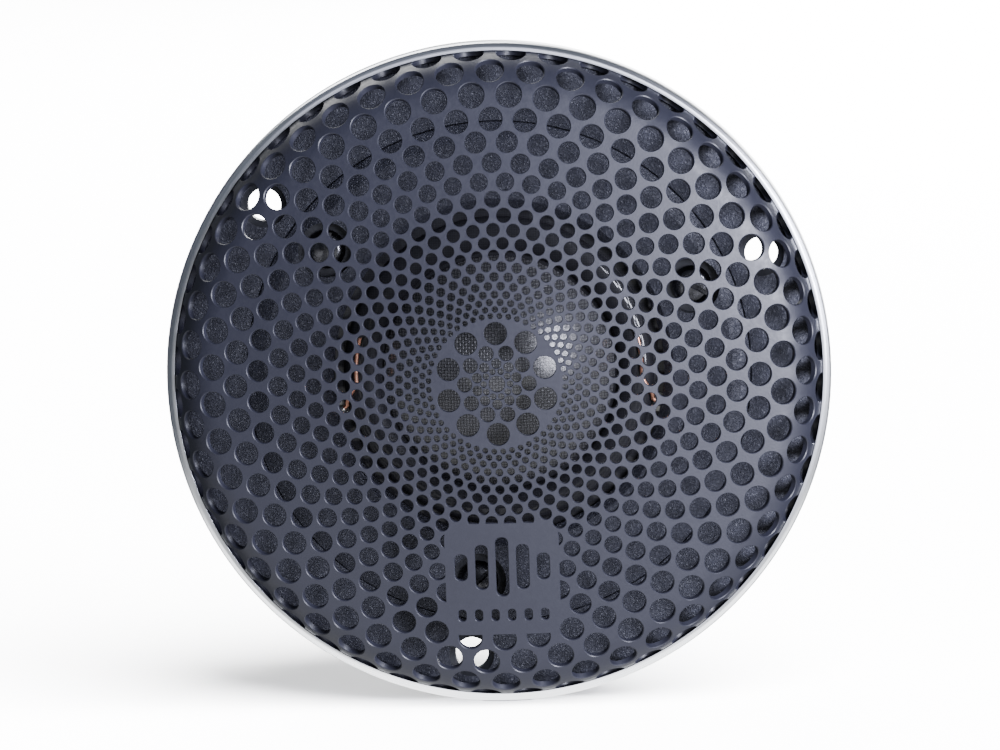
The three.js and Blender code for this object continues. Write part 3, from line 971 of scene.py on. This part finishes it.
def roll_height(radius, stand=0.0):
    """How far forward the surround's half roll stands at a radius, or a line that lies on it."""
    middle = (ROLL_INNER + ROLL_OUTER) / 2
    half = (ROLL_OUTER - ROLL_INNER) / 2 + stand
    return (ROLL_HEIGHT + stand) * math.sqrt(max(0.0, 1 - ((radius - middle) / half) ** 2))


def eased(part):
    """Runs smoothly from 0 to 1 as the part does, and stays there beyond."""
    part = np.clip(part, 0, 1)
    return part * part * (3 - 2 * part)


def bend_with_dome(piece):
    """Bakes the piece's placement into its mesh."""
    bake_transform(piece)


def add_surround():
    steps = 28
    middle = (ROLL_INNER + ROLL_OUTER) / 2
    half = (ROLL_OUTER - ROLL_INNER) / 2

    def roll(width, height, y):
        angles = [math.pi * i / steps for i in range(steps + 1)]
        return [(middle - width * math.cos(a), y - height * math.sin(a)) for a in angles]

    face = roll(half, ROLL_HEIGHT, SURROUND_FACE)
    under = roll(half - CLOTH, ROLL_HEIGHT - CLOTH, SURROUND_FACE + CLOTH)
    outline = [
        (SURROUND_INNER, SURROUND_FACE), *face, (SURROUND_OUTER, SURROUND_FACE),
        (SURROUND_OUTER, SURROUND_FACE + CLOTH), *under[::-1], (SURROUND_INNER, SURROUND_FACE + CLOTH),
    ]
    surround = lathe("surround_roll", outline, sides=128)
    surround.data.materials.append(LOOKS["coated_cloth"])
    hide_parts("surround")
    bend_with_dome(surround)


def tube(name, path, radius):
    """A round rod along a path of points, in millimetres."""
    sides = 12
    path = np.array(path, float)
    points, faces = [], []
    side = np.array((0.0, 1.0, 0.0))
    count = len(path)
    rings = []
    for i in range(count):
        tangent = path[min(i + 1, count - 1)] - path[max(i - 1, 0)]
        tangent /= np.linalg.norm(tangent)
        side = side - tangent * (side @ tangent)
        side /= np.linalg.norm(side)
        other = np.cross(tangent, side)
        size = radius * (0.6 if i in (0, count - 1) else 1)  # the ends are a little drawn in
        rings.append(range(len(points), len(points) + sides))
        for k in range(sides):
            angle = TURN * k / sides
            points.append(path[i] + size * (side * math.cos(angle) + other * math.sin(angle)))
    for low, high in zip(rings, rings[1:]):
        for k in range(sides):
            nxt = (k + 1) % sides
            faces.append((low[k], low[nxt], high[nxt], high[k]))
    faces.append(tuple(rings[0])[::-1])
    faces.append(tuple(rings[-1]))
    return new_piece(name, points, faces)


LEAD_RADIUS = 0.275
TAG_ANGLE = -0.22
TAG_FACE = -1.3
JOINT_RADIUS = 20.4


def add_leads():
    """Each lead crosses the roll from the dome to its crest, runs along it and drops to its tag."""
    start, crest, end = 14.9, 18.1, 19.75
    start_angle, end_angle = 0.42, -0.2
    stand = 0.35
    steps, last_steps = 48, 4
    for side, way in (("right", 1), ("left", -1)):
        path = []
        for i in range(steps + 1):
            part = i / steps
            radius = start + (crest - start) * eased(4 * part) + (end - crest) * eased(4 * part - 3)
            x, z = polar(radius, start_angle + (end_angle - start_angle) * part)
            path.append((way * x, SURROUND_FACE - roll_height(radius, stand), z))
        x, z = polar(JOINT_RADIUS, TAG_ANGLE)
        joint = (way * x, TAG_FACE - 0.27, z)
        last = np.array(path[-1])
        path += [tuple(last + (joint - last) * k / last_steps) for k in range(1, last_steps + 1)]
        lead = tube(f"lead_{side}", path, LEAD_RADIUS)
        lead.data.materials.append(LOOKS["glued_copper"])
        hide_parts(f"lead_wire_{side}")
        bend_with_dome(lead)

        tag = slab(f"solder_tag_{side}", (20, 23.2), (TAG_FACE, -1.0), (-1.2, 1.2), 0.08)
        tag.data.transform(Matrix.Rotation(-TAG_ANGLE, 4, "Y"))
        if way < 0:
            tag.data.transform(Matrix.Scale(-1, 4, (1, 0, 0)))
            tag.data.flip_normals()
        finish_piece(tag, "driver", "tinned_brass", f"lead_tag_{side}")

        bead = lathe(f"solder_bead_{side}", [
            (0, TAG_FACE), (0.6, TAG_FACE), (0.55, -1.55), (0.38, -1.8), (0.18, -1.92), (0, -1.95),
        ], sides=24, sharp_angle=80)
        place(bead, JOINT_RADIUS + 0.05, TAG_ANGLE if way > 0 else math.pi - TAG_ANGLE)
        finish_piece(bead, "driver", "tinned_brass")


# --- motor
def plate_ring(name, node, bore, fillets):
    """A ring with the CAD node's outer radius and its two faces, from its bore's radius and four fillets."""
    radius, front, rear = node_size(node)
    corners = ((bore, front), (radius, front), (radius, rear), (bore, rear))
    return lathe(name, rounded([(*corner, fillet) for corner, fillet in zip(corners, fillets)]))


def drilled(piece, circle, radius, front, rear, sides=24):
    """The piece with three holes on a circle, at the screws' angles."""
    return boolean(piece, [place(rod(radius, front, rear, sides), circle, angle) for angle in THIRDS])


REAR_SCREW_HOLE = 1.2


def add_motor():
    plate = plate_ring("top_plate_turned", "top_plate", 15.1, (0.2, 0.25, 0.35, 0.2))
    drilled(plate, SCREW_CIRCLE, PLATE_SCREW_HOLE, -1, 6, sides=32)
    finish_piece(plate, "driver", "turned_steel", "top_plate")
    magnet = plate_ring("magnet_sintered", "ring_magnet", 17, (0.3, 0.6, 0.6, 0.3))
    finish_piece(magnet, "driver", "ferrite", "ring_magnet")
    back = plate_ring("back_plate_turned", "back_plate", 4, (0.2, 0.4, 0.5, 0.2))
    drilled(back, REAR_SCREW_CIRCLE, REAR_SCREW_HOLE, 12.5, 18)
    finish_piece(back, "driver", "turned_steel", "back_plate")


def add_rear_chamber():
    lip_radius, front, rear = node_size("rear_chamber")
    outer, wall, lip_rear = 22, 1.5, 17.6
    recess, gate = 14, 1.6
    recess_floor = rear - 0.35
    gate_floor = recess_floor - 0.25
    cup = lathe("chamber_moulding", rounded([
        (0, rear - wall, 0), (outer - wall, rear - wall, 0.6), (outer - wall, front, 0),
        (lip_radius, front, 0.2), (lip_radius, lip_rear, 0.4), (outer, lip_rear, 0.5), (outer, rear, 1.0),
        (recess + 0.5, rear, 0.15), (recess, recess_floor, 0.15),
        (gate, recess_floor, 0.1), (gate - 0.3, gate_floor, 0.1), (0, gate_floor, 0),
    ]))
    drilled(cup, REAR_SCREW_CIRCLE, REAR_SCREW_HOLE, 15, 19)
    finish_piece(cup, "driver", "plain_plastic", "rear_chamber")
    for i, angle in enumerate(THIRDS):
        screw = pan_head(
            f"rear_screw_{i + 1}_turned",
            head=1.6, height=1.2, shank=0.9, seat=lip_rear, end=13.4, slot=0.45, depth=0.5, side=1)
        place(screw, REAR_SCREW_CIRCLE, angle, 0.9 * i)
        finish_piece(screw, "driver", "zinc_plate", f"rear_screw_{i + 1}")


# --- terminals
def add_terminal_block(name):
    block = slab(f"terminal_block_{name}_moulded", *zip(*box_mm(f"terminal_block_{name}")), 0.35, 3)
    finish_piece(block, "driver", "plain_plastic", f"terminal_block_{name}")


def add_terminal_tab(name, width):
    """A stamped lug with a tapered blade and an eye to hold the wire's connector."""
    low, high = box_mm(f"terminal_{name}")
    root = box_mm(f"terminal_block_{name}")[1].y
    rear, half, tip = high.y, width / 2, 1.0
    lug = slab("lug", (low.x, high.x), (low.y, root), (low.z, high.z), 0.12)
    blade = prism("blade", [
        (root - 1, -half), (rear - tip, -half), (rear, -half + tip * 0.6),
        (rear, half - tip * 0.6), (rear - tip, half), (root - 1, half),
    ], low.x, high.x)
    with_bevel(blade, 0.15)
    boolean(lug, [blade], "UNION")
    boolean(lug, [across("eye", width * 0.15, low.x - 1, high.x + 1, rear - 3.2)])
    lug.name = f"terminal_{name}_stamped"
    finish_piece(lug, "driver", "tinned_brass", f"terminal_{name}")


def add_terminal_rivet(name, way):
    low, high = box_mm(f"terminal_rivet_{name}")
    face = high.x if way > 0 else low.x
    radius, depth = (high.y - low.y) / 2, 0.5
    outline = rounded([
        (0, 0, 0), (radius, 0, 0.05), (radius, depth * 0.6, 0.2), (radius * 0.75, depth, 0.2),
        (0.75, depth, 0.1), (0.6, 0.15, 0.1), (0, 0.15, 0),
    ])
    rivet = lathe(f"terminal_rivet_{name}_set", outline, sides=40)
    rivet.data.transform(Matrix.Rotation(-math.pi / 2 * way, 4, "Z"))
    rivet.data.transform(Matrix.Translation((mm(face - way * depth), mm(low.y + radius), 0)))
    finish_piece(rivet, "driver", "sheet_brass", f"terminal_rivet_{name}")


def add_terminals():
    for name, way, width in (("positive", 1, 4.8), ("negative", -1, 2.8)):
        add_terminal_block(name)
        add_terminal_tab(name, width)
        add_terminal_rivet(name, way)


def prism(name, outline, x0, x1):
    """A flat shape given by (y, z) points, between two x values, in millimetres."""
    count = len(outline)
    points = [(x0, y, z) for y, z in outline] + [(x1, y, z) for y, z in outline]
    faces = [tuple(range(count))[::-1], tuple(range(count, 2 * count))]
    faces += [(i, (i + 1) % count, count + (i + 1) % count, count + i) for i in range(count)]
    return new_piece(name, points, faces)


def across(name, radius, x0, x1, y):
    """A round rod along X through (y, 0), in millimetres."""
    sides = 32
    ring = [polar(radius, TURN * k / sides) for k in range(sides)]
    return prism(name, [(y + along, z) for along, z in ring], x0, x1)


# --- hidden pieces
def dress_hidden_nodes():
    """CAD nodes whose own shape is shown, inside the motor."""
    dressed = {
        "coupling_ring": ("plain_plastic", "plain_plastic"),
        "voice_coil_former": ("polyimide", "polyimide"),
        "voice_coil": ("wound_coil", "copper"),
        "pole_piece": ("turned_steel", "plated_steel"),
        "copper_cap": ("drawn_copper", "copper"),
        "felt_damper": ("wool_felt", "felt"),
        "chamber_foam": ("closed_foam", "foam"),
    }
    for node, (look, slot) in dressed.items():
        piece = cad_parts[node]
        piece.data.materials.clear()
        piece.data.materials.append(LOOKS[look])


# --- stage
def add_stage():
    half = 6000
    corners = ((-half, -half), (half, -half), (half, half), (-half, half))
    floor = new_piece("studio_floor", [(x, y, CAD_BOX[0].z * 1000) for x, y in corners], [(0, 1, 2, 3)])
    floor.data.materials.append(LOOKS["studio_floor"])
    floor.visible_diffuse = False
    floor.visible_glossy = False
    return floor


def add_softbox(name, aim, towards, distance, size, power, colour=(1, 1, 1)):
    """A rectangular light that far from its aim, with one edge level with X as seen along its beam."""
    data = bpy.data.lights.new(name, "AREA")
    data.shape = "RECTANGLE"
    data.size, data.size_y = size
    data.energy = power
    data.color = colour
    side = Vector((1, 0, 0))
    side = (side - towards * side.dot(towards)).normalized()
    turn = Matrix((side, towards.cross(side), towards)).transposed()
    light = bpy.data.objects.new(name, data)
    light.matrix_world = Matrix.Translation(Vector(aim) + towards * distance) @ turn.to_4x4()
    light.visible_camera = False
    bpy.context.scene.collection.objects.link(light)
    return light


def shine_on(light, piece):
    """The light falls on that piece and on nothing else."""
    group = bpy.data.collections.new(light.name)
    group.objects.link(piece)
    light.light_linking.receiver_collection = group


def add_lights(floor, ring):
    """A softbox to the front right, two behind, and light that the sheet throws back up.

    The sheet has its own broad light, so it stays white however dark the tweeter is lit, and
    the trim ring has the light that the sheet throws on it from close by. The room is a dim blue.
    """
    add_softbox("key", (0, 0, 0), direction(39, 9), 1.0, (0.32, 0.5), 35, (0.87, 0.89, 1.05))
    add_softbox("rear", (0, 0, 0), direction(200, 45), 1.0, (0.6, 0.6), 10)
    add_softbox("back", (0, 0, 0), direction(160, 12), 1.0, (0.7, 0.5), 14)
    sheet = CAD_BOX[0].z + mm(0.1)
    down = Vector((0, 0, -1))
    add_softbox("bounce", (0.17, -0.23, sheet), down, 0, (0.56, 0.46), 0.7)
    near = add_softbox("near bounce", (0.0, -0.008, sheet), down, 0, (0.16, 0.024), 0.045)
    shine_on(near, ring)
    add_sheet_light(floor)
    add_room()


def add_sheet_light(floor):
    data = bpy.data.lights.new("sheet", "SUN")
    data.energy = 62
    data.angle = math.radians(60)
    light = bpy.data.objects.new("sheet", data)
    light.rotation_euler = direction(40, 50).to_track_quat("Z", "Y").to_euler()
    bpy.context.scene.collection.objects.link(light)
    shine_on(light, floor)


def add_room():
    world = bpy.data.worlds.new("studio")
    world.use_nodes = True
    backdrop = world.node_tree.nodes["Background"]
    backdrop.inputs["Color"].default_value = (0.72, 0.82, 1.0, 1)
    backdrop.inputs["Strength"].default_value = 0.14
    bpy.context.scene.world = world


add_camera()
trim_ring = add_grille_cover()
add_flange()
add_gasket()
add_face_plate()
add_face_screws()
add_dome()
add_surround()
add_leads()
add_motor()
add_rear_chamber()
add_terminals()
dress_hidden_nodes()
add_lights(add_stage(), trim_ring)
